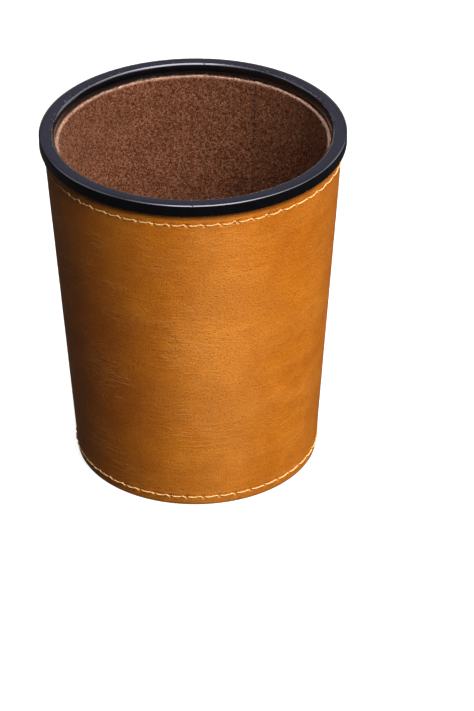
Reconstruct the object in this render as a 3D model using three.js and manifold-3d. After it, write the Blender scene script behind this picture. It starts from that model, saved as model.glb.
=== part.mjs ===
// A leather dice cup: a board tube wrapped in leather and lined with felt, closed below by a cupped
// leather base and above by a moulded rim ring, with a row of lock stitch near each end.
// Millimetres, +Z up. The origin is the middle of the base, on the surface that the cup stands on.
// The wall leather and the wall felt each meet in a butt seam at +Y, and the tube's own seam is at -Y.

import * as THREE from 'three';
import { mergeVertices } from 'three/addons/utils/BufferGeometryUtils.js';
import Module from 'manifold-3d';

const wasm = await Module();
wasm.setup();

// Driving dimensions
const cupHeight = 108;
const rimRadius = 45;
const footRadius = 36.65; // outside of the leather at z = 0
const flare = 0.0677; // radius gained for each millimetre of height
const glueGap = 0.05; // between faces that are glued together
const roundSteps = 60; // facets round the cup

// Sheet thicknesses
const wallLeather = 1.0;
const tubeBoard = 1.3;
const wallFelt = 1.73;
const soleLeather = 2.3;
const floorBoard = 2.0;
const floorFelt = 1.8;

// Rim ring: a channel, open below, that covers the top edges of the leather and the tube
const bandHeight = 3.65;
const rimThickness = 1.6;
const rimInnerRadius = 40.45;
const innerLeg = 0.85;
const innerLegHeight = 3.3;
const outerLeg = 1.05;
const rimOuterRound = 1.0;
const rimInnerRound = 1.7;
const bandEdgeRound = 0.3;
const channelGap = 0.2; // between the channel's roof and the sheets under it

// Base: the sole is pressed into a shallow cup that stands on its flange
const recessDepth = 5.0;
const flangeInnerRadius = 33.3;
const soleFold = 1.0;
const recessRound = 0.8;
const footEdgeRound = 0.4;

// Seams
const topSeamHeight = 100.7;
const bottomSeamHeight = 3.05;
const threadRadius = 0.22;
const threadSides = 6;
const threadGroove = 0.37; // radius of the groove that an exposed thread lies in
const buriedGroove = 0.7; // radius of the groove that takes the whole thread
const buriedThreadDepth = 0.33;
const buttGap = 0.3;

// Worked out from the above
const bandBottom = cupHeight - bandHeight;
const channelRoof = cupHeight - rimThickness;
const sheetTop = channelRoof - channelGap;
const feltTop = cupHeight - innerLegHeight - 0.1;
const soleTop = recessDepth + soleLeather;
const boardBottom = soleTop + glueGap;
const boardTop = boardBottom + floorBoard;
const feltBottom = boardTop + glueGap;

const leatherOutside = (z) => footRadius + flare * z;
const leatherInside = (z) => leatherOutside(z) - wallLeather;
const tubeOutside = (z) => leatherInside(z) - glueGap;
const tubeInside = (z) => tubeOutside(z) - tubeBoard;
const feltOutside = (z) => tubeInside(z) - glueGap;
const feltInside = (z) => feltOutside(z) - wallFelt;

// Points on an arc in the (radius, height) plane. Angles are in degrees, from +radius towards +height.
function arc(r, z, radius, from, to, steps) {
	return Array.from({ length: steps + 1 }, (_, i) => {
		const angle = THREE.MathUtils.degToRad(from + ((to - from) * i) / steps);
		return [r + radius * Math.cos(angle), z + radius * Math.sin(angle)];
	});
}

// A half-round groove across a wall that the profile follows upwards (outside) or downwards (inside).
const outsideGroove = (r, z, radius) => arc(r, z, radius, -90, -270, 4);
const insideGroove = (r, z, radius) => arc(r, z, radius, 90, -90, 4);

// Turns a profile round +Z. It runs anticlockwise in the (radius, height) plane, and it closes on
// itself unless it starts and ends on the axis.
function turned(profile) {
	const onAxis = profile[0][0] === 0;
	const outline = onAxis ? profile : [...profile, profile[0]];
	const points = outline.map(([r, z]) => new THREE.Vector2(r, z));
	const geometry = new THREE.LatheGeometry(points, roundSteps);
	geometry.rotateX(Math.PI / 2);
	return geometry;
}

function toSolid(geometry) {
	const bare = geometry.clone();
	bare.deleteAttribute('normal');
	bare.deleteAttribute('uv');
	const merged = mergeVertices(bare, 1e-4);
	return new wasm.Manifold(new wasm.Mesh({
		numProp: 3,
		vertProperties: merged.attributes.position.array,
		triVerts: new Uint32Array(merged.index.array),
	}));
}

function toGeometry(solid) {
	const mesh = solid.getMesh();
	const geometry = new THREE.BufferGeometry();
	geometry.setAttribute('position', new THREE.BufferAttribute(mesh.vertProperties, 3));
	geometry.setIndex(new THREE.BufferAttribute(mesh.triVerts, 1));
	geometry.computeVertexNormals();
	return geometry;
}

// Opens a narrow slot through one side of a sleeve, where the two ends of its sheet meet.
function withButtSeam(geometry, side) {
	const slot = new THREE.BoxGeometry(buttGap, rimRadius, 2 * cupHeight);
	slot.translate(0, side * (rimRadius / 2 + 10), cupHeight / 2);
	return toGeometry(toSolid(geometry).subtract(toSolid(slot)));
}

function rimRing() {
	const legInside = rimInnerRadius + innerLeg;
	const legBottom = cupHeight - innerLegHeight;
	const bandInside = rimRadius - outerLeg;
	return turned([
		[bandInside, bandBottom],
		...arc(rimRadius - bandEdgeRound, bandBottom + bandEdgeRound, bandEdgeRound, -90, 0, 2),
		...arc(rimRadius - rimOuterRound, cupHeight - rimOuterRound, rimOuterRound, 0, 90, 4),
		...arc(rimInnerRadius + rimInnerRound, cupHeight - rimInnerRound, rimInnerRound, 90, 180, 5),
		[rimInnerRadius, legBottom],
		[legInside, legBottom],
		[legInside, channelRoof],
		[bandInside, channelRoof],
	]);
}

function leatherWall() {
	const sleeve = turned([
		[leatherInside(0), 0],
		...arc(leatherOutside(0) - footEdgeRound, footEdgeRound, footEdgeRound, -90, 0, 3),
		...outsideGroove(leatherOutside(bottomSeamHeight), bottomSeamHeight, threadGroove),
		...outsideGroove(leatherOutside(topSeamHeight), topSeamHeight, threadGroove),
		[leatherOutside(sheetTop), sheetTop],
		[leatherInside(sheetTop), sheetTop],
	]);
	return withButtSeam(sleeve, 1);
}

function coreTube() {
	const sleeve = turned([
		[tubeInside(boardBottom), boardBottom],
		[tubeOutside(boardBottom), boardBottom],
		[tubeOutside(sheetTop), sheetTop],
		[tubeInside(sheetTop), sheetTop],
		...insideGroove(tubeInside(topSeamHeight), topSeamHeight, buriedGroove),
	]);
	return withButtSeam(sleeve, -1);
}

function wallLining() {
	const sleeve = turned([
		[feltInside(feltBottom), feltBottom],
		[feltOutside(feltBottom), feltBottom],
		[feltOutside(feltTop), feltTop],
		[feltInside(feltTop), feltTop],
	]);
	return withButtSeam(sleeve, 1);
}

function baseLeather() {
	const foldRadius = tubeOutside(soleTop - soleFold) - soleFold;
	const recessEdge = flangeInnerRadius - recessRound;
	return turned([
		[0, recessDepth],
		...arc(recessEdge, recessDepth - recessRound, recessRound, 90, 0, 3),
		...insideGroove(flangeInnerRadius, bottomSeamHeight, threadGroove),
		[flangeInnerRadius, 0],
		[tubeOutside(0), 0],
		...arc(foldRadius, soleTop - soleFold, soleFold, 0, 90, 3),
		[0, soleTop],
	]);
}

function disc(radius, bottom, top) {
	return turned([[0, bottom], [radius, bottom], [radius, top], [0, top]]);
}

// One lock-stitch thread as a plain ring of its own thickness.
function threadRing(radius, height) {
	return turned(arc(radius, height, threadRadius, 0, 360, threadSides).slice(0, threadSides));
}

const leather = { color: 0xb06a24, roughness: 0.5, metalness: 0 };
const soleSide = { color: 0x9a5c22, roughness: 0.7, metalness: 0 };
const felt = { color: 0x6b4133, roughness: 0.95, metalness: 0 };
const blackPlastic = { color: 0x14141a, roughness: 0.3, metalness: 0 };
const board = { color: 0x9c8a70, roughness: 0.9, metalness: 0 };
const thread = { color: 0xf5dcaa, roughness: 0.7, metalness: 0 };

const cup = new THREE.Group();

function add(name, geometry, finish) {
	const mesh = new THREE.Mesh(geometry, new THREE.MeshStandardMaterial(finish));
	mesh.name = name;
	cup.add(mesh);
}

add('rim_ring', rimRing(), blackPlastic);
add('leather_wall', leatherWall(), leather);
add('core_tube', coreTube(), board);
add('wall_lining', wallLining(), felt);
add('base_leather', baseLeather(), soleSide);
add('base_board', disc(tubeInside(boardBottom) - glueGap, boardBottom, boardTop), board);
add('base_lining', disc(feltInside(feltBottom) - glueGap, feltBottom, feltBottom + floorFelt), felt);

// Each seam has a needle thread outside and a bobbin thread inside.
add('top_seam_thread', threadRing(leatherOutside(topSeamHeight), topSeamHeight), thread);
add('top_seam_bobbin_thread', threadRing(tubeInside(topSeamHeight) + buriedThreadDepth, topSeamHeight), thread);
add('bottom_seam_thread', threadRing(leatherOutside(bottomSeamHeight), bottomSeamHeight), thread);
add('bottom_seam_bobbin_thread', threadRing(flangeInnerRadius, bottomSeamHeight), thread);

export default cup;
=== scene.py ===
# The looks of a leather dice cup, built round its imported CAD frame.
# Metres, +Z up, the cup's axis on Z, the sheets' butt seams at +Y and the camera on the -Y side.
import math

import bpy
import numpy as np
from mathutils import Matrix, Vector


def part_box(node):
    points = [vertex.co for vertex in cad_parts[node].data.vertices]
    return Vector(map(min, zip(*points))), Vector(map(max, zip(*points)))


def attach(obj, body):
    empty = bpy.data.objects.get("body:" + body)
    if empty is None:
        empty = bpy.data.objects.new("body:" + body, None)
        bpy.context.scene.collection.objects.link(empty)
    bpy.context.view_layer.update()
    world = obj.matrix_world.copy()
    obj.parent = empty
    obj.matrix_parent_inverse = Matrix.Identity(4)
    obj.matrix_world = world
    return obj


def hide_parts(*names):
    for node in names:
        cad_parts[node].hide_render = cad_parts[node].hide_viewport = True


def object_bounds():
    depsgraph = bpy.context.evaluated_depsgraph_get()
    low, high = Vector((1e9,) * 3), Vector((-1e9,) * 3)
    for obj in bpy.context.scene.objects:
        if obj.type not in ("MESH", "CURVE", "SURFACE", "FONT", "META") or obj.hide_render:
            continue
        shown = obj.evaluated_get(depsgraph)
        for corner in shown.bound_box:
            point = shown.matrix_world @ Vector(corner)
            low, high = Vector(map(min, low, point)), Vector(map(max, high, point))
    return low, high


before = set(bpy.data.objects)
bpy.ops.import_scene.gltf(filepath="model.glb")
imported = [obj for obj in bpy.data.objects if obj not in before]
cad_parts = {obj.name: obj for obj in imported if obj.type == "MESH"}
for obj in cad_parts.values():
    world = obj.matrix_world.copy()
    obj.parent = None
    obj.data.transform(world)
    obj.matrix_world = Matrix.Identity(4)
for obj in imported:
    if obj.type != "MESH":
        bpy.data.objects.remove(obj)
cad_low, cad_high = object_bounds()

MM = 0.001
TURN = 2 * math.pi

# ---------------------------------------------------------------- sizes

# From the frame
RIM_LOW, RIM_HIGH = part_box("rim_ring")
_, WALL_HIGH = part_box("leather_wall")
TUBE_LOW, TUBE_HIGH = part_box("core_tube")
FELT_LOW, FELT_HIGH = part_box("wall_lining")
_, SOLE_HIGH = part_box("base_leather")
BOARD_LOW, BOARD_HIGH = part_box("base_board")
FLOOR_FELT_LOW, FLOOR_FELT_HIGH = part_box("base_lining")


def middle_height(node):
    low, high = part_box(node)
    return (low.z + high.z) / 2


TOP_SEAM_Z = middle_height("top_seam_thread")
BOTTOM_SEAM_Z = middle_height("bottom_seam_thread")

# As in the CAD: the wall's flare, the sheets' thicknesses and the places that no box shows
FLARE = 0.0677  # radius gained for each unit of height
GLUE = 0.05 * MM
LEATHER = 1.0 * MM
BOARD = 1.3 * MM
FELT = 1.73 * MM
FOOT_RADIUS = WALL_HIGH.x - FLARE * WALL_HIGH.z
RECESS = 5.0 * MM
FLANGE_INSIDE = 33.3 * MM
RIM_INSIDE = 40.45 * MM

# The looks' own
RIM_INNER_ROUND = 1.55 * MM
SEAM = math.pi / 2  # the angle of the butt seams
CAMERA_AZIMUTH = math.radians(27.3)  # how far the butt seams are from the middle of the camera's far side


def leather_outside(z):
    return FOOT_RADIUS + FLARE * z


def leather_inside(z):
    return leather_outside(z) - LEATHER


def tube_outside(z):
    return leather_inside(z) - GLUE


def tube_inside(z):
    return tube_outside(z) - BOARD


def felt_outside(z):
    return tube_inside(z) - GLUE


def felt_inside(z):
    return felt_outside(z) - FELT


# ---------------------------------------------------------------- mesh helpers

MIDDLE_RADIUS = 40 * MM  # of the wall, near enough for spacing points round it


def arc(r, z, radius, start, end, steps):
    """Points (radius, height) on an arc. Angles in degrees, from +radius towards +height."""
    angles = np.radians(np.linspace(start, end, steps + 1))
    return list(zip(r + radius * np.cos(angles), z + radius * np.sin(angles)))


def whole_turn(columns):
    return np.arange(columns) * TURN / columns


def slit_turn(columns, seam, gap, radius):
    """Angles from one side of a butt seam round to the other, closer together at the two edges."""
    close = np.array([0.0, 0.12, 0.3, 0.6]) * MM / radius
    start, end = seam + gap / 2 / radius, seam + TURN - gap / 2 / radius
    between = np.linspace(start + close[-1], end - close[-1], columns - 2 * len(close) + 2)
    return np.concatenate([start + close[:-1], between, end - close[-2::-1]])


def ring(angles, radius, height):
    """Points round the axis. Radius and height are numbers, or arrays as long as angles."""
    columns = [radius * np.cos(angles), radius * np.sin(angles), np.broadcast_to(height, angles.shape)]
    return np.column_stack(columns)


def strip_faces(a, b, around):
    """Faces between two rings, each (first vertex, angles). Their numbers of points may differ."""
    (a_first, a_angles), (b_first, b_angles) = a, b
    na, nb = len(a_angles), len(b_angles)
    if na == nb:
        i = np.arange(na if around else na - 1)
        j = (i + 1) % na
        return np.column_stack([a_first + i, a_first + j, b_first + j, b_first + i]).tolist()
    faces, i, j = [], 0, 0
    a_end, b_end = (na, nb) if around else (na - 1, nb - 1)
    a_next = np.append(a_angles, a_angles[0] + TURN)
    b_next = np.append(b_angles, b_angles[0] + TURN)
    while i < a_end or j < b_end:
        if j == b_end or (i < a_end and a_next[i + 1] <= b_next[j + 1]):
            faces.append([a_first + i, a_first + (i + 1) % na, b_first + j % nb])
            i += 1
        else:
            faces.append([a_first + i % na, b_first + (j + 1) % nb, b_first + j])
            j += 1
    return faces


def skin(name, rings, around=True, loop=True, sheet=None):
    """One closed mesh through rings of (angles, points).

    With loop the last ring joins the first; otherwise each end is closed on its own middle point.
    Rings that don't go all the way around get end caps.
    """
    points = np.concatenate([p for _, p in rings])
    firsts = np.cumsum([0] + [len(p) for _, p in rings])
    spans = [(first, angles) for first, (angles, _) in zip(firsts, rings)]
    faces = []
    for a, b in zip(spans, spans[1:]):
        faces += strip_faces(a, b, around)
    if loop:
        faces += strip_faces(spans[-1], spans[0], around)
    else:
        for span, flip in ((spans[0], True), (spans[-1], False)):
            first, count = span[0], len(span[1])
            hub = len(points)
            points = np.vstack([points, points[first:first + count].mean(0)])
            for i in range(count):
                pair = [first + i, first + (i + 1) % count]
                faces.append([hub] + (pair[::-1] if flip else pair))
    if not around:
        starts = [int(first) for first, _ in spans]
        ends = [int(first) + len(angles) - 1 for first, angles in spans]
        faces += [starts, ends[::-1]]
    return finished_mesh(name, points, faces, sheet)


def finished_mesh(name, points, faces, sheet=None, sharp=50):
    """A smooth-shaded object. sheet is each point's place on the flat sheet, in mm, and edges sharper
    than that many degrees stay sharp."""
    mesh = bpy.data.meshes.new(name)
    mesh.from_pydata(np.asarray(points).tolist(), [], faces)
    mesh.validate()
    mesh.polygons.foreach_set("use_smooth", [True] * len(mesh.polygons))
    mesh.set_sharp_from_angle(angle=math.radians(sharp))
    if sheet is not None:
        attribute = mesh.attributes.new("sheet", "FLOAT_VECTOR", "POINT")
        attribute.data.foreach_set("vector", np.asarray(sheet, np.float32).ravel())
    piece = bpy.data.objects.new(name, mesh)
    bpy.context.scene.collection.objects.link(piece)
    return piece


def flat_place(rings, seam):
    """Where each point of the rings lies on the flat sheet: mm along, mm up, and mm through."""
    places = []
    for angles, points in rings:
        height = points[:, 2]
        along = (angles - seam) * leather_outside(WALL_HIGH.z / 2)
        through = np.hypot(points[:, 0], points[:, 1]) - leather_outside(height)
        places.append(np.column_stack([along, height, through]) / MM)
    return np.concatenate(places)


def wander(angles, heights, size, seed):
    """Smooth noise from -1 to 1 on the wall, with cells of about that size, closed round the cup."""
    columns = max(3, round(TURN * MIDDLE_RADIUS / size))
    rows = max(4, math.ceil(np.ptp(np.append(heights, [0, cad_high.z])) / size) + 3)
    lattice = np.random.default_rng(seed).uniform(-1, 1, (rows, columns))
    x = (np.asarray(angles) % TURN) / TURN * columns
    y = np.asarray(heights) / size + 1
    i, j = np.floor(x).astype(int), np.floor(y).astype(int)
    fx, fy = x - i, y - j
    fx, fy = fx * fx * (3 - 2 * fx), fy * fy * (3 - 2 * fy)
    i0, i1 = i % columns, (i + 1) % columns
    j0, j1 = np.clip(j, 0, rows - 1), np.clip(j + 1, 0, rows - 1)
    low = lattice[j0, i0] * (1 - fx) + lattice[j0, i1] * fx
    high = lattice[j1, i0] * (1 - fx) + lattice[j1, i1] * fx
    return low * (1 - fy) + high * fy


# ---------------------------------------------------------------- stitch rows

THREAD = 0.2 * MM  # radius


class StitchRow:
    """One row of lock stitch round the cup: how many stitches, the angle of the first hole in degrees
    anticlockwise from the camera's right, and the height."""

    def __init__(self, stitches, first_hole, height, surface):
        self.stitches = stitches
        self.first_hole = math.radians(first_hole) + CAMERA_AZIMUTH
        self.height = height
        self.surface = surface  # radius of the surface that the thread lies on, by height
        self.pitch = TURN / stitches

    def dent(self, angles, heights):
        """How deep the leather is pressed in by the thread, in metres."""
        hole_depth, bed_depth, shoulder_height, pull_depth = 0.50 * MM, 0.12 * MM, 0.05 * MM, 0.07 * MM
        along = ((angles - self.first_hole) / self.pitch) % 1
        gap = np.minimum(along, 1 - along) * self.pitch * self.surface(self.height)
        rise = heights - self.height
        hole = np.exp(-(gap / (0.42 * MM)) ** 2 - ((rise + 0.18 * MM) / (0.40 * MM)) ** 2)
        bed = np.exp(-(rise / (0.42 * MM)) ** 2)
        shoulder = np.exp(-((np.abs(rise) - 0.95 * MM) / (0.40 * MM)) ** 2)
        pull = np.exp(-(gap / (1.1 * MM)) ** 2) * np.exp(-(rise / (1.3 * MM)) ** 2)
        return hole_depth * hole + bed_depth * bed - shoulder_height * shoulder + pull_depth * pull


TOP_SEAM = (56, 268.25, TOP_SEAM_Z)
BOTTOM_SEAM = (47, 265.75, BOTTOM_SEAM_Z)
BURIED = 0.62 * MM  # how deep the top row's inner thread is let into the tube

TOP_ROW = StitchRow(*TOP_SEAM, leather_outside)
TOP_BOBBIN_ROW = StitchRow(*TOP_SEAM, lambda z: tube_inside(z) + BURIED)
BOTTOM_ROW = StitchRow(*BOTTOM_SEAM, leather_outside)
BOTTOM_BOBBIN_ROW = StitchRow(*BOTTOM_SEAM, lambda z: FLANGE_INSIDE)

# One stitch of each thread: how far along it from 0 to 1, then out of the surface and up, in mm
NEEDLE_STITCH = (
    (0.00, -0.80, -0.16),
    (0.05, -0.55, -0.14),
    (0.10, -0.10, -0.10),
    (0.17, 0.10, -0.09),
    (0.30, 0.15, -0.10),
    (0.46, 0.16, -0.06),
    (0.60, 0.17, 0.04),
    (0.71, 0.21, 0.20),
    (0.77, 0.22, 0.25),
    (0.83, 0.15, 0.04),
    (0.885, 0.02, -0.20),
    (0.935, -0.45, -0.30),
)
BOBBIN_STITCH = (
    (0.00, -0.50, 0.0),
    (0.06, 0.02, 0.0),
    (0.14, 0.22, 0.04),
    (0.50, 0.30, 0.0),
    (0.86, 0.22, -0.04),
    (0.94, 0.02, 0.0),
)


def smooth_closed(points, steps):
    """A Catmull-Rom curve through a closed list of points, with that many steps for each span."""
    p = np.asarray(points)
    before, after, beyond = np.roll(p, 1, 0), np.roll(p, -1, 0), np.roll(p, -2, 0)
    parts = []
    for t in np.arange(steps) / steps:
        cubic = -before + 3 * p - 3 * after + beyond
        square = 2 * before - 5 * p + 4 * after - beyond
        parts.append(0.5 * (2 * p + (after - before) * t + square * t * t + cubic * t ** 3))
    return np.stack(parts, 1).reshape(-1, 3)


def stitched_path(row, shape, seed, outward, slant):
    """The thread's centreline all round the row. No two stitches are quite the same."""
    random = np.random.default_rng(seed)
    points = []
    for k in range(row.stitches):
        lift, lean, slide = random.normal(1, 0.12), random.normal(1, 0.28), random.normal(0, 0.014)
        for along, out, up in shape:
            angle = row.first_hole + (k + along + (slide if along > 0 else 0)) * row.pitch
            height = row.height + up * slant * lean * MM
            radius = row.surface(height) + outward * out * (lift if out > 0 else 1) * MM
            points.append((radius * math.cos(angle), radius * math.sin(angle), height))
    return points


def thread(name, row, shape, seed, outward=1, slant=1.0):
    """A three-ply thread along a stitched path: a lobed section that turns as it goes."""
    plies, lay, sides = 3, 1.5 * MM, 12
    path = smooth_closed(stitched_path(row, shape, seed, outward, slant), steps=3)
    tangent = np.roll(path, -1, 0) - np.roll(path, 1, 0)
    length = np.linalg.norm(np.roll(path, -1, 0) - path, axis=1)
    travelled = np.concatenate([[0], np.cumsum(length)[:-1]])
    tangent /= np.linalg.norm(tangent, axis=1)[:, None]
    out = path * (1, 1, 0)
    out /= np.linalg.norm(out, axis=1)[:, None]
    out -= tangent * (out * tangent).sum(1)[:, None]
    out /= np.linalg.norm(out, axis=1)[:, None]
    side = np.cross(tangent, out)
    turns = max(1, round(length.sum() / lay / plies))  # a whole number, so that the plies close
    twist = travelled / length.sum() * TURN * turns
    around = whole_turn(sides)
    turned = around[None] + twist[:, None]
    lobes = THREAD * (1 + 0.11 * np.cos(plies * turned))
    points = (
        path[:, None]
        + out[:, None] * (lobes * np.cos(around))[:, :, None]
        + side[:, None] * (lobes * np.sin(around))[:, :, None]
    )
    count = len(path)
    i, j = np.meshgrid(np.arange(count), np.arange(sides), indexing="ij")
    i1, j1 = (i + 1) % count, (j + 1) % sides
    faces = np.stack([i * sides + j1, i1 * sides + j1, i1 * sides + j, i * sides + j], -1).reshape(-1, 4)
    along = np.broadcast_to(travelled[:, None], turned.shape)
    out_of_surface = outward * (np.hypot(points[..., 0], points[..., 1]) - row.surface(points[..., 2]))
    sheet = np.stack([along, turned * THREAD, out_of_surface], -1) / MM
    return finished_mesh(name, points.reshape(-1, 3), faces.tolist(), sheet.reshape(-1, 3))


# ---------------------------------------------------------------- the pieces

def leather_wall():
    """The wrapped leather: rounded foot edge, thread dents, slight waves and a butt seam at the back."""
    gap = 0.14 * MM
    foot_round = 0.45 * MM
    seam_reach = 3 * MM  # how far above and below a stitch row the fine rings go
    fine_step = 0.25 * MM
    columns_per_stitch = 18
    coarse = slit_turn(366, SEAM, gap, MIDDLE_RADIUS)
    fine_low = slit_turn(BOTTOM_ROW.stitches * columns_per_stitch, SEAM, gap, 37 * MM)
    fine_high = slit_turn(TOP_ROW.stitches * columns_per_stitch, SEAM, gap, 43 * MM)

    def outer(angles, z):
        heights = np.full_like(angles, z)
        radius = leather_outside(z) - BOTTOM_ROW.dent(angles, z) - TOP_ROW.dent(angles, z)
        radius += 0.035 * MM * wander(angles, heights, 11 * MM, 1)
        radius += 0.015 * MM * wander(angles, heights, 3 * MM, 2)
        # the sheet's two edges are pressed down where they meet
        from_edge = np.minimum(angles - angles[0], angles[-1] - angles) * MIDDLE_RADIUS
        radius -= 0.22 * MM * np.clip(1 - from_edge / (0.55 * MM), 0, 1) ** 2
        return angles, ring(angles, radius, z)

    rings = [(coarse, ring(coarse, leather_inside(0), 0.0))]
    for r, z in arc(leather_outside(0) - foot_round, foot_round, foot_round, -90, 0, 4):
        rings.append((fine_low, ring(fine_low, r, z)))
    low_fine = np.arange(foot_round, BOTTOM_SEAM_Z + seam_reach, fine_step)[1:]
    middle = np.linspace(low_fine[-1] + 2 * fine_step, TOP_SEAM_Z - seam_reach, 84)
    high_fine = np.arange(middle[-1] + 0.3 * MM, RIM_LOW.z + 0.3 * MM, fine_step)
    rings += [outer(fine_low, z) for z in low_fine]
    rings += [outer(coarse, z) for z in middle]
    rings += [outer(fine_high, z) for z in high_fine]
    top = WALL_HIGH.z
    rings.append((coarse, ring(coarse, leather_outside(top), top)))
    rings.append((coarse, ring(coarse, leather_inside(top), top)))
    rings += [(coarse, ring(coarse, leather_inside(z), z)) for z in np.linspace(top, 0, 8)[1:-1]]
    return skin("leather_wall_looks", rings, around=False, sheet=flat_place(rings, SEAM))


def rim_ring():
    """The moulded ring, with two weld marks across its top face."""
    outside, inside, top, bottom = RIM_HIGH.x, RIM_INSIDE, RIM_HIGH.z, RIM_LOW.z
    outer_leg, inner_leg, roof = 1.05 * MM, 0.85 * MM, 1.6 * MM  # thicknesses
    band_inside = outside - outer_leg
    leg_bottom = top - 3.3 * MM
    outer_width, outer_drop = 1.6 * MM, 0.5 * MM  # the outer corner is a low, wide round
    inner_round, low_round, leg_round = RIM_INNER_ROUND, 0.3 * MM, 0.2 * MM
    outer_corner = [
        (outside + outer_width * (r - 1), top + outer_drop * (z - 1))
        for r, z in arc(0.0, 0.0, 1.0, 0, 90, 12)
    ]
    # the single points beside the rounds keep the flat stretches flat under smooth shading
    profile = [
        (band_inside, bottom),
        (outside - low_round - 0.3 * MM, bottom),
        *arc(outside - low_round, bottom + low_round, low_round, -90, 0, 5),
        (outside, bottom + 1.2 * MM),
        (outside, top - 1.6 * MM),
        *outer_corner,
        (inside + inner_round + 0.4 * MM, top),
        *arc(inside + inner_round, top - inner_round, inner_round, 90, 180, 12),
        (inside, leg_bottom + 0.9 * MM),
        *arc(inside + leg_round, leg_bottom + leg_round, leg_round, 180, 270, 3),
        (inside + inner_leg, leg_bottom),
        (inside + inner_leg, top - roof),
        (band_inside, top - roof),
    ]
    marked = top - 1.5 * MM  # the weld marks and the moulding's ripple are above this height
    weld_width, weld_depth, ripple = 0.24 * MM, 0.10 * MM, 0.004 * MM
    welds = [math.radians(a) + CAMERA_AZIMUTH for a in (86, 270)]
    near = np.linspace(-1, 1, 21) * 1.5 * MM / outside
    angles = np.unique(np.concatenate([whole_turn(720)] + [(w + near) % TURN for w in welds]))
    groove = np.zeros_like(angles)
    for weld in welds:
        away = np.abs((angles - weld + math.pi) % TURN - math.pi) * outside
        groove += np.exp(-(away / weld_width) ** 2)
    rings = []
    for r, z in profile:
        drop = np.zeros_like(angles)
        if z > marked:
            drop = weld_depth * groove + ripple * (1 + wander(angles, np.full_like(angles, r), 7 * MM, 3))
        rings.append((angles, ring(angles, r, z - drop)))
    return skin("rim_ring_looks", rings)


def core_tube():
    """The rolled board tube, with its own seam opposite the sheets' one."""
    seam, gap = SEAM + math.pi, 0.2 * MM
    angles = slit_turn(240, seam, gap, 39 * MM)
    low, high = TUBE_LOW.z, TUBE_HIGH.z
    # the groove takes the top row's inner thread
    groove = arc(tube_inside(TOP_SEAM_Z), TOP_SEAM_Z, 0.7 * MM, 90, -90, 6)
    profile = [(tube_inside(low), low), (tube_outside(low), low)]
    profile += [(tube_outside(z), z) for z in np.linspace(low, high, 12)[1:]]
    profile += [(tube_inside(high), high), *groove]
    profile += [(tube_inside(z), z) for z in np.linspace(TOP_SEAM_Z - 2 * MM, low, 12)[:-1]]
    rings = [(angles, ring(angles, r, z)) for r, z in profile]
    return skin("core_tube_looks", rings, around=False, sheet=flat_place(rings, seam))


def felt_surface(angles, heights, seed):
    """The felt's uneven surface, in metres."""
    coarse = wander(angles, heights, 1.7 * MM, seed) * 0.05 * MM
    fine = wander(angles, heights, 0.8 * MM, seed + 1) * 0.07 * MM
    return coarse + fine


def wall_lining():
    """The felt sleeve, with a rough cut edge at the top and a butt seam at the back."""
    gap, felt_radius = 0.06 * MM, 37 * MM
    angles = slit_turn(520, SEAM, gap, felt_radius)
    fine = slit_turn(1160, SEAM, gap, felt_radius)
    low, high = FELT_LOW.z, FELT_HIGH.z
    edge_round, edge_drop = 0.35 * MM, 0.2 * MM
    from_start, from_end = (angles - angles[0]) * felt_radius, (angles[-1] - angles) * felt_radius
    # at the seam one edge of the sheet stands a little higher than the other, and both are pressed in
    step = 0.25 * MM * np.exp(-from_end / (3 * MM)) - 0.2 * MM * np.exp(-from_start / (3 * MM))
    pressed = 0.24 * MM * np.clip(1 - np.minimum(from_start, from_end) / (0.9 * MM), 0, 1) ** 2
    rings = []

    def add(radius, z, rough, raised=0.0):
        out = (pressed - felt_surface(angles, np.full_like(angles, z), 11)) * rough
        rings.append((angles, ring(angles, radius + out, z + step * raised)))

    add(felt_inside(low), low, 0.3)
    add(felt_outside(low), low, 0)
    for z in np.linspace(low, high - 2 * MM, 6)[1:]:
        add(felt_outside(z), z, 0)
    # the cut edge slopes up from the tube: mm in from the felt's outside and mm down from its top
    slope = ((0.03, 0.75), (0.4, 0.62), (0.75, 0.42), (1.05, 0.2), (1.25, 0.05))
    edge = [(felt_outside(high) - x * MM, high - y * MM) for x, y in slope]
    edge += arc(felt_inside(high) + edge_round, high - edge_round, edge_round, 80, 180, 5)
    fine_step = np.interp(fine, angles, step)
    for r, z in edge:
        lump = wander(fine, np.full_like(fine, r), 0.55 * MM, 15) * 0.12 * MM
        lump += wander(fine, np.full_like(fine, r), 1.6 * MM, 16) * 0.06 * MM
        rings.append((fine, ring(fine, r + lump * 0.5, z - edge_drop + lump + fine_step)))
    for z in np.arange(high - edge_round - 0.5 * MM, low + 0.2 * MM, -0.6 * MM):
        add(felt_inside(z), z, 1, raised=max(0.0, 1 - (high - z) / (6 * MM)))
    return skin("wall_lining_looks", rings, around=False, sheet=flat_place(rings, SEAM))


def floor_lining():
    """The felt disc on the floor of the cup."""
    radius, low, high = FLOOR_FELT_HIGH.x, FLOOR_FELT_LOW.z, FLOOR_FELT_HIGH.z
    angles = whole_turn(320)
    edge_round = 0.5 * MM
    edge_drop, face_drop = 0.1 * MM, 0.12 * MM  # keep the bumps below the CAD's top face
    rings = [(angles, ring(angles, r, low)) for r in (4 * MM, 20 * MM, radius)]
    for r, z in arc(radius - edge_round, high - edge_round, edge_round, 0, 90, 3):
        rings.append((angles, ring(angles, r, z - edge_drop)))
    for r in np.arange(radius - 2 * edge_round, 1.0 * MM, -0.6 * MM):
        bumps = felt_surface(angles, np.full_like(angles, r), 21) * min(1.0, r / (20 * MM))
        rings.append((angles, ring(angles, r, high - face_drop + bumps)))
    sheet = np.concatenate([p for _, p in rings] + [[[0, 0, low]], [[0, 0, high]]]) / MM
    return skin("base_lining_looks", rings, loop=False, sheet=sheet)


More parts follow.
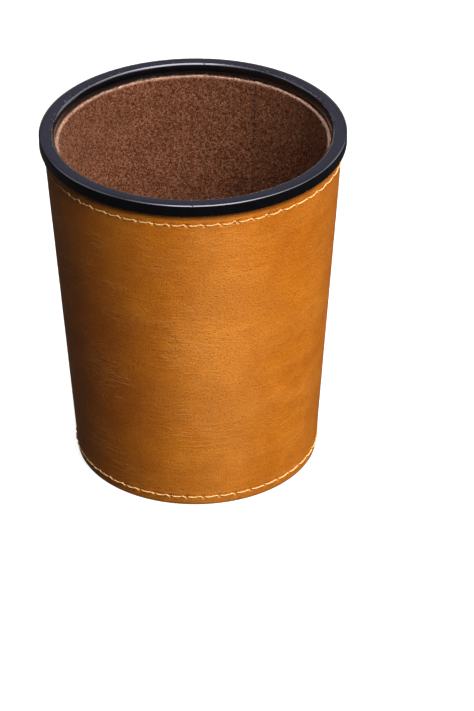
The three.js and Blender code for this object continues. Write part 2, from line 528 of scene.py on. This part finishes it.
def base_leather():
    """The sole: a leather disc pressed into a cup that stands on its cut flange."""
    fold, recess_round = 1.0 * MM, 0.9 * MM
    columns_per_stitch = 14
    angles = whole_turn(BOTTOM_ROW.stitches * columns_per_stitch)
    top = SOLE_HIGH.z
    fold_radius = tube_outside(top - fold) - fold
    rings = []
    # the underside of the disc, which sags a little towards its middle
    for r in np.concatenate([[1.0], np.linspace(4, 31.5, 12)]) * MM:
        sag = 0.25 * MM * math.exp(-(r / (22 * MM)) ** 2)
        wave = wander(angles, np.full_like(angles, r), 9 * MM, 31) * 0.04 * MM * min(1.0, r / (10 * MM))
        rings.append((angles, ring(angles, r, RECESS - sag + wave)))
    for r, z in arc(FLANGE_INSIDE - recess_round, RECESS - recess_round, recess_round, 90, 0, 5)[1:]:
        rings.append((angles, ring(angles, r, z)))
    # down the inside of the flange, past the inner thread, and across its cut edge
    for z in np.arange(RECESS - recess_round, 0.35 * MM, -0.28 * MM)[1:]:
        radius = FLANGE_INSIDE + BOTTOM_BOBBIN_ROW.dent(angles, z) * 0.8
        rings.append((angles, ring(angles, radius, z)))
    for r in np.linspace(FLANGE_INSIDE + 0.25 * MM, tube_outside(0) - 0.15 * MM, 6):
        rough = wander(angles, np.full_like(angles, r), 0.6 * MM, 32) * 0.03 * MM
        rings.append((angles, ring(angles, r, 0.04 * MM + rough)))
    # up the outside and over the top
    rings.append((angles, ring(angles, tube_outside(0.2 * MM), 0.2 * MM)))
    for r, z in arc(fold_radius, top - fold, fold, 0, 90, 4):
        rings.append((angles, ring(angles, r, z)))
    rings.append((angles, ring(angles, 10 * MM, top)))
    places = np.concatenate([p for _, p in rings] + [[[0, 0, RECESS]], [[0, 0, top]]]) / MM
    return skin("base_leather_looks", rings, loop=False, sheet=places)


def base_board():
    """The stiffening disc between the sole and the floor felt."""
    angles = whole_turn(180)
    low, high, radius, soft = BOARD_LOW.z, BOARD_HIGH.z, BOARD_HIGH.x, 0.3 * MM
    profile = [(8 * MM, low), (20 * MM, low)]
    profile += arc(radius - soft, low + soft, soft, -90, 0, 3)
    profile += arc(radius - soft, high - soft, soft, 0, 90, 3)
    profile += [(20 * MM, high), (8 * MM, high)]
    rings = [(angles, ring(angles, r, z)) for r, z in profile]
    return skin("base_board_looks", rings, loop=False)


def felt_fuzz():
    """Loose fibres on the felt's cut top edge and the upper wall, and lint on the ring's inner edge."""
    random = np.random.default_rng(41)
    ring_centre = RIM_HIGH.z - RIM_INNER_ROUND
    points, faces = [], []

    def fibre(root, direction, bend, length, thick):
        """One bent, three-sided fibre that tapers to a point."""
        side = np.cross(direction, bend)
        side /= np.linalg.norm(side)
        up = np.cross(side, direction)
        first = len(points)
        for t, width in ((0.0, 1.0), (0.55, 0.85)):
            centre = root + direction * length * t + bend * length * t * t
            for a in whole_turn(3):
                points.append(centre + thick * width * (side * math.cos(a) + up * math.sin(a)))
        points.append(root + (direction + bend) * length)
        for a in range(3):
            b = (a + 1) % 3
            faces.append([first + a, first + b, first + 3 + b, first + 3 + a])
            faces.append([first + 3 + a, first + 3 + b, first + 6])
        faces.append([first + 2, first + 1, first])

    def scatter(count, height_of, radius_of, lean, length, thick, lift=1.0):
        """Fibres at random places. They lean (inwards, upwards), and a lift below 1 lays them flatter."""
        for _ in range(count):
            angle = random.uniform(0, TURN)
            height = height_of()
            radius = radius_of(height)
            away = np.array([-math.cos(angle), -math.sin(angle), 0.0])
            along = np.array([-math.sin(angle), math.cos(angle), 0.0])
            root = np.array([-away[0] * radius, -away[1] * radius, height])
            direction = away * lean[0] + np.array([0, 0, lean[1]]) + along * random.normal(0, 0.8)
            direction += np.array([0, 0, random.normal(0, 0.5)])
            direction = direction / np.linalg.norm(direction) * (1, 1, lift)
            bend = random.normal(0, 0.35, 3) * (1, 1, lift)
            fibre(root, direction, bend, random.uniform(*length) * MM, thick * MM)

    def on_edge(z):
        return felt_inside(z) + random.uniform(0.0, 0.6) * MM

    def on_wall(z):
        return felt_inside(z) + 0.03 * MM

    def on_ring(z):
        return RIM_INSIDE + RIM_INNER_ROUND - math.sqrt(RIM_INNER_ROUND ** 2 - (z - ring_centre) ** 2)

    def ring_height():
        return RIM_HIGH.z - random.uniform(0.09, 0.32) * MM

    def edge_height():
        return FELT_HIGH.z - random.uniform(0.25, 0.75) * MM

    def wall_height():
        return FELT_HIGH.z - random.uniform(0.6, 62) * MM

    scatter(4600, edge_height, on_edge, (0.5, 0.55), (0.25, 0.65), 0.03)
    scatter(1200, edge_height, on_edge, (0.3, 0.8), (0.6, 1.2), 0.04)
    scatter(11500, wall_height, on_wall, (0.5, 0.0), (0.3, 0.8), 0.03)
    scatter(360, ring_height, on_ring, (0.3, 0.0), (0.12, 0.36), 0.028, lift=0.1)
    return finished_mesh("felt_fuzz", points, faces, sharp=180)


# ---------------------------------------------------------------- materials

def srgb(red, green, blue):
    """A colour picked as 0-255 screen values, as the linear colour that a shader takes."""
    def linear(value):
        share = value / 255
        return share / 12.92 if share <= 0.04045 else ((share + 0.055) / 1.055) ** 2.4
    return (linear(red), linear(green), linear(blue), 1.0)


class Finish:
    """One material's node tree, with short ways to add nodes to it."""

    def __init__(self, name):
        self.material = bpy.data.materials.new(name)
        self.material.use_nodes = True
        self.tree = self.material.node_tree
        self.shader = next(n for n in self.tree.nodes if n.type == "BSDF_PRINCIPLED")

    def add(self, kind, inputs=(), **settings):
        node = self.tree.nodes.new(kind)
        for key, value in settings.items():
            setattr(node, key, value)
        for key, value in dict(inputs).items():
            self.feed(node.inputs[key], value)
        return node

    def feed(self, socket, value):
        if isinstance(value, bpy.types.NodeSocket):
            self.tree.links.new(value, socket)
        else:
            socket.default_value = value

    def set(self, **inputs):
        for key, value in inputs.items():
            self.feed(self.shader.inputs[key.replace("_", " ")], value)

    def sheet(self):
        """Place on the flat sheet, in mm."""
        return self.add("ShaderNodeAttribute", attribute_name="sheet").outputs["Vector"]

    def place(self):
        """Place in the cup's own frame, in mm."""
        where = self.add("ShaderNodeTexCoord").outputs["Object"]
        return self.add("ShaderNodeVectorMath", {0: where, "Scale": 1 / MM}, operation="SCALE").outputs[0]

    def mapped(self, where, scale=(1, 1, 1), turn=0.0):
        inputs = {"Vector": where, "Scale": scale, "Rotation": (0, 0, math.radians(turn))}
        return self.add("ShaderNodeMapping", inputs).outputs[0]

    def noise(self, where, size, detail=2.0, roughness=0.5, distortion=0.0):
        """Noise from 0 to 1, with features of that size in mm."""
        inputs = {
            "Vector": where, "Scale": 1 / size, "Detail": detail,
            "Roughness": roughness, "Distortion": distortion,
        }
        return self.add("ShaderNodeTexNoise", inputs).outputs["Fac"]

    def cells(self, where, size):
        """Distance to the middle of the nearest cell, with cells of that size in mm."""
        return self.add("ShaderNodeTexVoronoi", {"Vector": where, "Scale": 1 / size}).outputs["Distance"]

    def maths(self, operation, *values):
        node = self.add("ShaderNodeMath", operation=operation)
        for socket, value in zip(node.inputs, values):
            self.feed(socket, value)
        return node.outputs[0]

    def ranged(self, value, low, high, new_low=0.0, new_high=1.0):
        inputs = {"Value": value, "From Min": low, "From Max": high, "To Min": new_low, "To Max": new_high}
        return self.add("ShaderNodeMapRange", inputs).outputs[0]

    def mix(self, share, first, second):
        node = self.add("ShaderNodeMix", data_type="RGBA")
        for name, value in (("Factor_Float", share), ("A_Color", first), ("B_Color", second)):
            self.feed(next(s for s in node.inputs if s.identifier == name), value)
        return next(s for s in node.outputs if s.identifier == "Result_Color")

    def blob(self, where, middle, reach, strength):
        """A soft, ragged-edged patch on the sheet, from 0 outside it to strength in the middle."""
        inputs = {0: where, 1: (*middle, 0.0)}
        away = self.add("ShaderNodeVectorMath", inputs, operation="SUBTRACT").outputs[0]
        shrunk = self.mapped(away, (1 / reach[0], 1 / reach[1], 0.0))
        away = self.add("ShaderNodeVectorMath", {0: shrunk}, operation="LENGTH").outputs["Value"]
        ragged = self.maths("ADD", away, self.ranged(self.noise(where, 14, 2), 0.2, 0.8, -0.2, 0.2))
        inputs = {"Value": ragged, "From Min": 0.1, "From Max": 1.0, "To Min": strength, "To Max": 0.0}
        return self.add("ShaderNodeMapRange", inputs, interpolation_type="SMOOTHSTEP").outputs[0]

    def relief(self, height, depth, strength=1.0, under=None):
        """A bump normal from a height of 0 to 1 that stands for that many mm."""
        inputs = {"Height": height, "Distance": depth * MM, "Strength": strength}
        if under is not None:
            inputs["Normal"] = under
        return self.add("ShaderNodeBump", inputs).outputs[0]


def wall_leather():
    """Waxed tan leather: fine pores, growth creases that run round the cup and a soft, mottled tone."""
    f = Finish("tan_leather")
    at = f.sheet()
    sheet_place = f.add("ShaderNodeSeparateXYZ", {0: at})
    tone = f.noise(at, 26, 2, 0.5)
    mottle = f.noise(at, 5.5, 4, 0.62, 0.4)
    speckle = f.noise(at, 0.5, 3, 0.8)
    pores = f.ranged(f.cells(at, 0.75), 0.0, 0.42, 1.0, 0.0)
    streak = f.noise(f.mapped(at, (0.02, 0.13, 1.0), 3), 1.0, 2, 0.5, 0.6)
    # growth creases: winding lines along the sheet that come and go in patches, and finer wrinkles
    along = f.mapped(at, (0.045, 0.34, 1.0), -3)
    line = f.noise(along, 1.0, 3, 0.55, 0.9)
    crease = f.ranged(f.maths("ABSOLUTE", f.maths("SUBTRACT", line, 0.5)), 0.0, 0.055, 1.0, 0.0)
    crease = f.maths("MULTIPLY", crease, f.ranged(f.noise(at, 17, 2), 0.43, 0.62))
    crease = f.maths("MULTIPLY", crease, f.ranged(sheet_place.outputs["X"], 128, 168, 1.0, 0.3))
    wrinkle = f.noise(f.mapped(at, (0.14, 0.9, 1.0), 5), 1.0, 4, 0.62, 1.0)
    wrinkle = f.maths("MULTIPLY", wrinkle, f.ranged(f.noise(at, 22, 2), 0.38, 0.58, 0.5, 1.1))
    share = f.maths("ADD", f.maths("MULTIPLY", tone, 0.5), f.maths("MULTIPLY", mottle, 0.5))
    colour = f.mix(f.ranged(share, 0.34, 0.66), srgb(193, 107, 20), srgb(217, 129, 30))
    colour = f.mix(f.ranged(streak, 0.52, 0.68, 0.0, 0.15), colour, srgb(238, 158, 70))
    # in the camera's view: a redder, darker patch on the left is painted shade, a paler one right of the
    # middle is a painted sheen, and a third patch at the upper right is slightly darker
    colour = f.mix(f.blob(at, (116, 42), (34, 74), 0.5), colour, srgb(154, 70, 20))
    colour = f.mix(f.blob(at, (154, 56), (22, 95), 0.38), colour, srgb(246, 162, 78))
    colour = f.mix(f.blob(at, (183, 88), (34, 44), 0.3), colour, srgb(170, 92, 14))
    # the creases are also painted paler: a painted highlight on top of their relief
    colour = f.mix(f.maths("MULTIPLY", crease, 0.2), colour, srgb(244, 178, 98))
    colour = f.mix(f.ranged(wrinkle, 0.30, 0.55, 0.17, 0.0), colour, srgb(150, 76, 14))
    colour = f.mix(f.ranged(speckle, 0.36, 0.56, 0.44, 0.0), colour, srgb(150, 76, 14))
    # the paler specks on the grain are a painted glint
    colour = f.mix(f.ranged(speckle, 0.54, 0.72, 0.0, 0.15), colour, srgb(246, 176, 96))
    colour = f.mix(f.maths("MULTIPLY", pores, 0.32), colour, srgb(128, 62, 10))
    # painted shade along the rounded foot edge, a painted shadow under the ring's band and painted shade in
    # the needle holes
    band = RIM_LOW.z / MM
    colour = f.mix(f.ranged(sheet_place.outputs["Y"], 0.3, 0.9, 0.6, 0.0), colour, srgb(62, 30, 12))
    band_shadow = f.ranged(sheet_place.outputs["Y"], band - 2.3, band - 0.7, 0.0, 0.75)
    colour = f.mix(band_shadow, colour, srgb(60, 26, 10))
    hole = f.ranged(sheet_place.outputs["Z"], -0.52, -0.28, 1.0, 0.0)
    colour = f.mix(f.maths("MULTIPLY", hole, 0.4), colour, srgb(120, 54, 10))
    height = f.maths("SUBTRACT", f.maths("MULTIPLY", speckle, 0.55), f.maths("MULTIPLY", pores, 0.5))
    bump = f.relief(height, 0.15, 1.0)
    bump = f.relief(mottle, 0.14, 0.45, bump)
    bump = f.relief(wrinkle, 0.20, 0.44, bump)
    bump = f.relief(crease, 0.11, 0.6, bump)
    rough = f.maths("ADD", f.ranged(mottle, 0.3, 0.7, 0.42, 0.54), f.maths("MULTIPLY", hole, 0.46))
    f.set(Base_Color=colour, Normal=bump, Roughness=rough)
    f.set(Specular_IOR_Level=0.45)
    return f.material


def sole_leather():
    """Undyed vegetable leather, drier and coarser than the wall's, with a fibrous cut edge."""
    f = Finish("sole_leather")
    at = f.sheet()
    mottle = f.noise(at, 4.0, 4, 0.6, 0.5)
    fibre = f.noise(at, 0.35, 3, 0.7)
    pores = f.ranged(f.cells(at, 0.8), 0.0, 0.4, 1.0, 0.0)
    colour = f.mix(f.ranged(mottle, 0.3, 0.7), srgb(150, 88, 40), srgb(182, 118, 62))
    colour = f.mix(f.ranged(fibre, 0.35, 0.65, 0.3, 0.0), colour, srgb(112, 62, 26))
    colour = f.mix(f.maths("MULTIPLY", pores, 0.2), colour, srgb(96, 50, 20))
    height = f.maths("SUBTRACT", fibre, f.maths("MULTIPLY", pores, 0.4))
    rough = f.ranged(mottle, 0.3, 0.7, 0.6, 0.75)
    f.set(Base_Color=colour, Normal=f.relief(height, 0.08, 0.7), Roughness=rough)
    return f.material


def brown_felt(name="brown_felt", lighter=0.0):
    """Pressed wool: tangled fibres that catch the light as pale specks over a darker brown."""
    f = Finish(name)
    at = f.place()
    cloud = f.noise(at, 9.0, 3, 0.55)
    tangle = f.noise(at, 0.7, 3, 0.75, 1.0)
    speck = f.noise(at, 0.34, 2, 0.6)
    share = f.maths("ADD", f.maths("MULTIPLY", tangle, 0.55), f.maths("MULTIPLY", speck, 0.45))
    colour = f.mix(f.ranged(share, 0.45, 0.65), srgb(60, 30, 16), srgb(162, 108, 80))
    colour = f.mix(f.ranged(cloud, 0.35, 0.65, 0.25, 0.0), colour, srgb(62, 34, 18))
    # painted shade along the butt seam, and painted light along the cut top edge
    place = f.add("ShaderNodeSeparateXYZ", {0: at})
    beside = f.ranged(f.maths("ABSOLUTE", place.outputs["X"]), 0.1, 1.0, 0.32, 0.0)
    seam = f.maths("MULTIPLY", beside, f.ranged(place.outputs["Y"], 0.0, 1.0))
    seam = f.maths("MULTIPLY", seam, f.ranged(place.outputs["Z"], 60.0, 95.0, 0.3, 1.0))
    colour = f.mix(seam, colour, srgb(34, 17, 9))
    cut = FELT_HIGH.z / MM
    pale = f.ranged(place.outputs["Z"], cut - 1.0, cut - 0.4)
    pale = f.maths("MULTIPLY", pale, f.ranged(f.noise(at, 0.9, 2), 0.35, 0.65, 0.08, 0.6))
    colour = f.mix(pale, colour, srgb(222, 180, 156))
    colour = f.mix(lighter, colour, srgb(226, 182, 160))
    f.set(Base_Color=colour, Normal=f.relief(share, 0.6, 0.9), Roughness=0.95)
    f.set(Sheen_Weight=0.06, Sheen_Roughness=0.3, Sheen_Tint=srgb(255, 196, 150), Specular_IOR_Level=0.0)
    return f.material


def black_plastic():
    """Moulded black plastic: a slight haze, rubbed places, a fine grain and a little clinging lint."""
    f = Finish("black_plastic")
    at = f.place()
    haze = f.noise(at, 3.0, 4, 0.65)
    rub = f.noise(f.mapped(at, (0.25, 0.25, 2.0)), 0.9, 3, 0.6)
    grain = f.noise(at, 0.2, 2, 0.6)
    colour = f.mix(f.ranged(haze, 0.3, 0.7), srgb(4, 4, 6), srgb(9, 8, 12))
    # felt lint that clings to the inner edge
    inner = RIM_INSIDE / MM
    across = f.add("ShaderNodeVectorMath", {0: f.mapped(at, (1, 1, 0))}, operation="LENGTH").outputs["Value"]
    tufts = f.ranged(f.cells(at, 0.6), 0.12, 0.3, 1.0, 0.0)
    lint = f.maths("MULTIPLY", tufts, f.ranged(f.noise(at, 2.2), 0.46, 0.6))
    lint = f.maths("MULTIPLY", lint, f.ranged(across, inner + 0.65, inner + 1.05))
    lint = f.maths("MULTIPLY", lint, f.ranged(across, inner + 1.35, inner + 1.65, 1.0, 0.0))
    colour = f.mix(f.maths("MULTIPLY", lint, 0.26), colour, srgb(168, 150, 144))
    rough = f.maths("ADD", f.ranged(haze, 0.3, 0.7, 0.12, 0.17), f.ranged(rub, 0.45, 0.75, 0.0, 0.05))
    rough = f.maths("ADD", rough, f.maths("MULTIPLY", lint, 0.5))
    # the inner leg is rubbed dull by the felt towards its lower edge
    height = f.add("ShaderNodeSeparateXYZ", {0: at}).outputs["Z"]
    top = RIM_HIGH.z / MM
    dull = f.ranged(height, top - 2.7, top - 2.1, 0.45, 0.0)
    dull = f.maths("MULTIPLY", dull, f.ranged(across, inner + 0.1, inner + 0.4, 1.0, 0.0))
    rough = f.maths("ADD", rough, dull)
    f.set(Base_Color=colour, Roughness=rough, Normal=f.relief(grain, 0.003, 0.1), Specular_IOR_Level=0.5)
    return f.material


def cream_thread():
    """Waxed linen thread: fine fibres along the twist, and painted brownish shade where it dips into its
    holes.
    """
    f = Finish("cream_thread")
    at = f.sheet()
    strand = f.noise(f.mapped(at, (0.6, 9.0, 0.0), 35), 1.0, 3, 0.6)
    out = f.add("ShaderNodeSeparateXYZ", {0: at}).outputs["Z"]
    drift = f.noise(at, 7.0, 2)
    colour = f.mix(f.ranged(strand, 0.3, 0.7), srgb(216, 160, 88), srgb(248, 212, 150))
    colour = f.mix(f.ranged(drift, 0.3, 0.7, 0.25, 0.0), colour, srgb(204, 152, 86))
    # painted brownish shade where the thread dips into its holes
    colour = f.mix(f.ranged(out, -0.45, -0.15, 0.75, 0.0), colour, srgb(196, 104, 26))
    f.set(Base_Color=colour, Normal=f.relief(strand, 0.05, 0.6), Roughness=0.62)
    f.set(Sheen_Weight=0.1)
    return f.material


def grey_board():
    """Rolled grey-brown board with long paper fibres."""
    f = Finish("grey_board")
    at = f.place()
    fibre = f.noise(f.mapped(at, (0.5, 0.5, 2.5)), 0.8, 4, 0.7, 1.2)
    blotch = f.noise(at, 6.0, 3)
    colour = f.mix(f.ranged(fibre, 0.3, 0.7), srgb(138, 120, 94), srgb(176, 158, 130))
    colour = f.mix(f.ranged(blotch, 0.35, 0.7, 0.25, 0.0), colour, srgb(112, 96, 76))
    # painted shade near the mouth, where the board lies in the dark gap behind the felt's edge
    up = f.add("ShaderNodeSeparateXYZ", {0: at}).outputs["Z"]
    mouth = FELT_HIGH.z / MM
    colour = f.mix(f.ranged(up, mouth - 4.0, mouth - 2.5, 0.0, 0.9), colour, srgb(26, 13, 8))
    f.set(Base_Color=colour, Normal=f.relief(fibre, 0.06, 0.6), Roughness=0.9)
    return f.material


# ---------------------------------------------------------------- assembly

def dress(piece, node, material):
    """Gives a piece its material, and has it ride on the body and stand for its CAD node."""
    piece.data.materials.clear()
    piece.data.materials.append(material)
    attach(piece, "root")
    if node:
        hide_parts(node)
    return piece


leather = wall_leather()
sole = sole_leather()
felt = brown_felt()
fuzz_felt = brown_felt("felt_fibre", 0.5)
plastic = black_plastic()
board = grey_board()
linen = cream_thread()

dress(rim_ring(), "rim_ring", plastic)
dress(leather_wall(), "leather_wall", leather)
dress(core_tube(), "core_tube", board)
wall_felt = dress(wall_lining(), "wall_lining", felt)
dress(base_leather(), "base_leather", sole)
dress(base_board(), "base_board", board)
floor_felt = dress(floor_lining(), "base_lining", felt)
dress(felt_fuzz(), None, fuzz_felt)

top_thread = thread("top_thread_looks", TOP_ROW, NEEDLE_STITCH, 51, slant=1.4)
bottom_thread = thread("bottom_thread_looks", BOTTOM_ROW, NEEDLE_STITCH, 52)
top_bobbin = thread("top_bobbin_looks", TOP_BOBBIN_ROW, BOBBIN_STITCH, 53, outward=-1)
bottom_bobbin = thread("bottom_bobbin_looks", BOTTOM_BOBBIN_ROW, BOBBIN_STITCH, 54, outward=-1)
dress(top_thread, "top_seam_thread", linen)
dress(bottom_thread, "bottom_seam_thread", linen)
dress(top_bobbin, "top_seam_bobbin_thread", linen)
dress(bottom_bobbin, "bottom_seam_bobbin_thread", linen)

# ---------------------------------------------------------------- stage, light and camera

def pale_floor():
    """A plain floor that is seen from above only, so that the cup can be looked at from below."""
    f = Finish("pale_floor")
    f.set(Base_Color=(0.3, 0.3, 0.3, 1), Roughness=0.8)
    f.set(Emission_Color=(1, 1, 1, 1), Emission_Strength=0.85)
    output = next(n for n in f.tree.nodes if n.type == "OUTPUT_MATERIAL")
    behind = f.add("ShaderNodeNewGeometry").outputs["Backfacing"]
    both = f.add("ShaderNodeMixShader", {0: behind})
    f.feed(both.inputs[1], f.shader.outputs[0])
    f.feed(both.inputs[2], f.add("ShaderNodeBsdfTransparent").outputs[0])
    f.feed(output.inputs["Surface"], both.outputs[0])
    angles = whole_turn(96)
    mesh = bpy.data.meshes.new("floor")
    mesh.from_pydata(ring(angles, 4.0, 0.0).tolist(), [], [list(range(96))])
    mesh.materials.append(f.material)
    floor = bpy.data.objects.new("floor", mesh)
    bpy.context.scene.collection.objects.link(floor)
    floor.visible_diffuse = False
    floor.visible_glossy = False
    floor.visible_shadow = False


def studio_air():
    """Even white surroundings: white where the camera sees them, dim for the light on the cup."""
    world = bpy.data.worlds.new("studio")
    world.use_nodes = True
    tree = world.node_tree
    tree.nodes.clear()
    output = tree.nodes.new("ShaderNodeOutputWorld")
    seen = tree.nodes.new("ShaderNodeBackground")
    seen.inputs["Color"].default_value = (1, 1, 1, 1)
    seen.inputs["Strength"].default_value = 0.9
    lights = tree.nodes.new("ShaderNodeBackground")
    lights.inputs["Color"].default_value = (0.95, 0.97, 1.0, 1)
    lights.inputs["Strength"].default_value = 0.05
    path = tree.nodes.new("ShaderNodeLightPath")
    both = tree.nodes.new("ShaderNodeMixShader")
    tree.links.new(path.outputs["Is Camera Ray"], both.inputs[0])
    tree.links.new(lights.outputs[0], both.inputs[1])
    tree.links.new(seen.outputs[0], both.inputs[2])
    tree.links.new(both.outputs[0], output.inputs[0])
    bpy.context.scene.world = world


def softbox(name, azimuth, elevation, distance, size, power, colour=(1, 1, 1), lights=True, mirrored=True):
    """An area light aimed at the cup. Azimuth is in degrees to the right of the camera."""
    lamp = bpy.data.lights.new(name, "AREA")
    lamp.shape = "RECTANGLE"
    lamp.size, lamp.size_y = size
    lamp.energy = power
    lamp.color = colour
    a, e = CAMERA_AZIMUTH + math.radians(azimuth), math.radians(elevation)
    away = Vector((math.sin(a) * math.cos(e), -math.cos(a) * math.cos(e), math.sin(e)))
    target = Vector((0, 0, cad_high.z / 2))
    light = bpy.data.objects.new(name, lamp)
    light.location = target + away * distance
    light.rotation_mode = "QUATERNION"
    light.rotation_quaternion = (-away).to_track_quat("-Z", "Y")
    light.visible_camera = False
    light.visible_diffuse = lights
    light.visible_glossy = mirrored
    bpy.context.scene.collection.objects.link(light)


def camera():
    """The photograph's view: from above, a little to one side, with a long lens. Its numbers were
    fitted to the cup's outlines."""
    lens = bpy.data.cameras.new("camera")
    lens.lens, lens.sensor_width = 177.52, 36.0
    lens.clip_start, lens.clip_end = 0.05, 20
    pitch, roll = math.radians(32.443), -0.0061
    seat = Matrix.Translation((12.45 * MM, -898.2 * MM, 600.55 * MM))
    tilt = Matrix.Rotation(math.pi / 2 - pitch, 4, "X") @ Matrix.Rotation(roll, 4, "Z")
    eye = bpy.data.objects.new("camera", lens)
    eye.matrix_world = Matrix.Rotation(CAMERA_AZIMUTH, 4, "Z") @ seat @ tilt
    bpy.context.scene.collection.objects.link(eye)
    bpy.context.scene.camera = eye


pale_floor()
studio_air()
softbox("key", 36, 44, 0.9, (0.6, 0.6), 14.0, (1.0, 0.985, 0.94), mirrored=False)
softbox("side", 108, 52, 0.9, (0.5, 0.4), 2.2, (1.0, 0.96, 0.94))
softbox("left_fill", -100, 20, 0.9, (0.5, 0.5), 0.13, (0.8, 0.85, 1.0), mirrored=False)
softbox("back_fill", 180, 25, 0.9, (0.6, 0.6), 2.4, mirrored=False)
softbox("rear_right", 128, 30, 0.9, (0.5, 0.4), 1.7, (0.85, 0.88, 1.0), lights=False)
softbox("rear_left", -122, 50, 0.9, (0.5, 0.4), 1.1, (0.85, 0.88, 1.0), lights=False)
# four overhead boxes, one above the other, make one whose edges fade
softbox("overhead", 90, 84, 0.80, (0.50, 0.42), 4.6, (0.92, 0.89, 1.0))
softbox("overhead_edge", 90, 84, 0.81, (0.58, 0.70), 4.4, (0.92, 0.89, 1.0))
softbox("overhead_glint", 90, 84, 0.79, (0.50, 0.42), 3.2, (0.94, 0.93, 1.0), lights=False)
softbox("overhead_fade", 90, 84, 0.82, (0.66, 1.05), 3.0, (0.92, 0.89, 1.0), lights=False)
softbox("backdrop", 180, 44, 1.0, (1.2, 0.6), 1.2, (0.66, 0.66, 1.0), lights=False)
softbox("horizon", 180, 11, 0.9, (0.9, 0.4), 0.6, (1.0, 0.94, 0.95), lights=False)
softbox("under_fill", 0, -90, 0.3, (0.08, 0.08), 0.4, mirrored=False)
camera()
bpy.context.scene.view_settings.view_transform = "Standard"
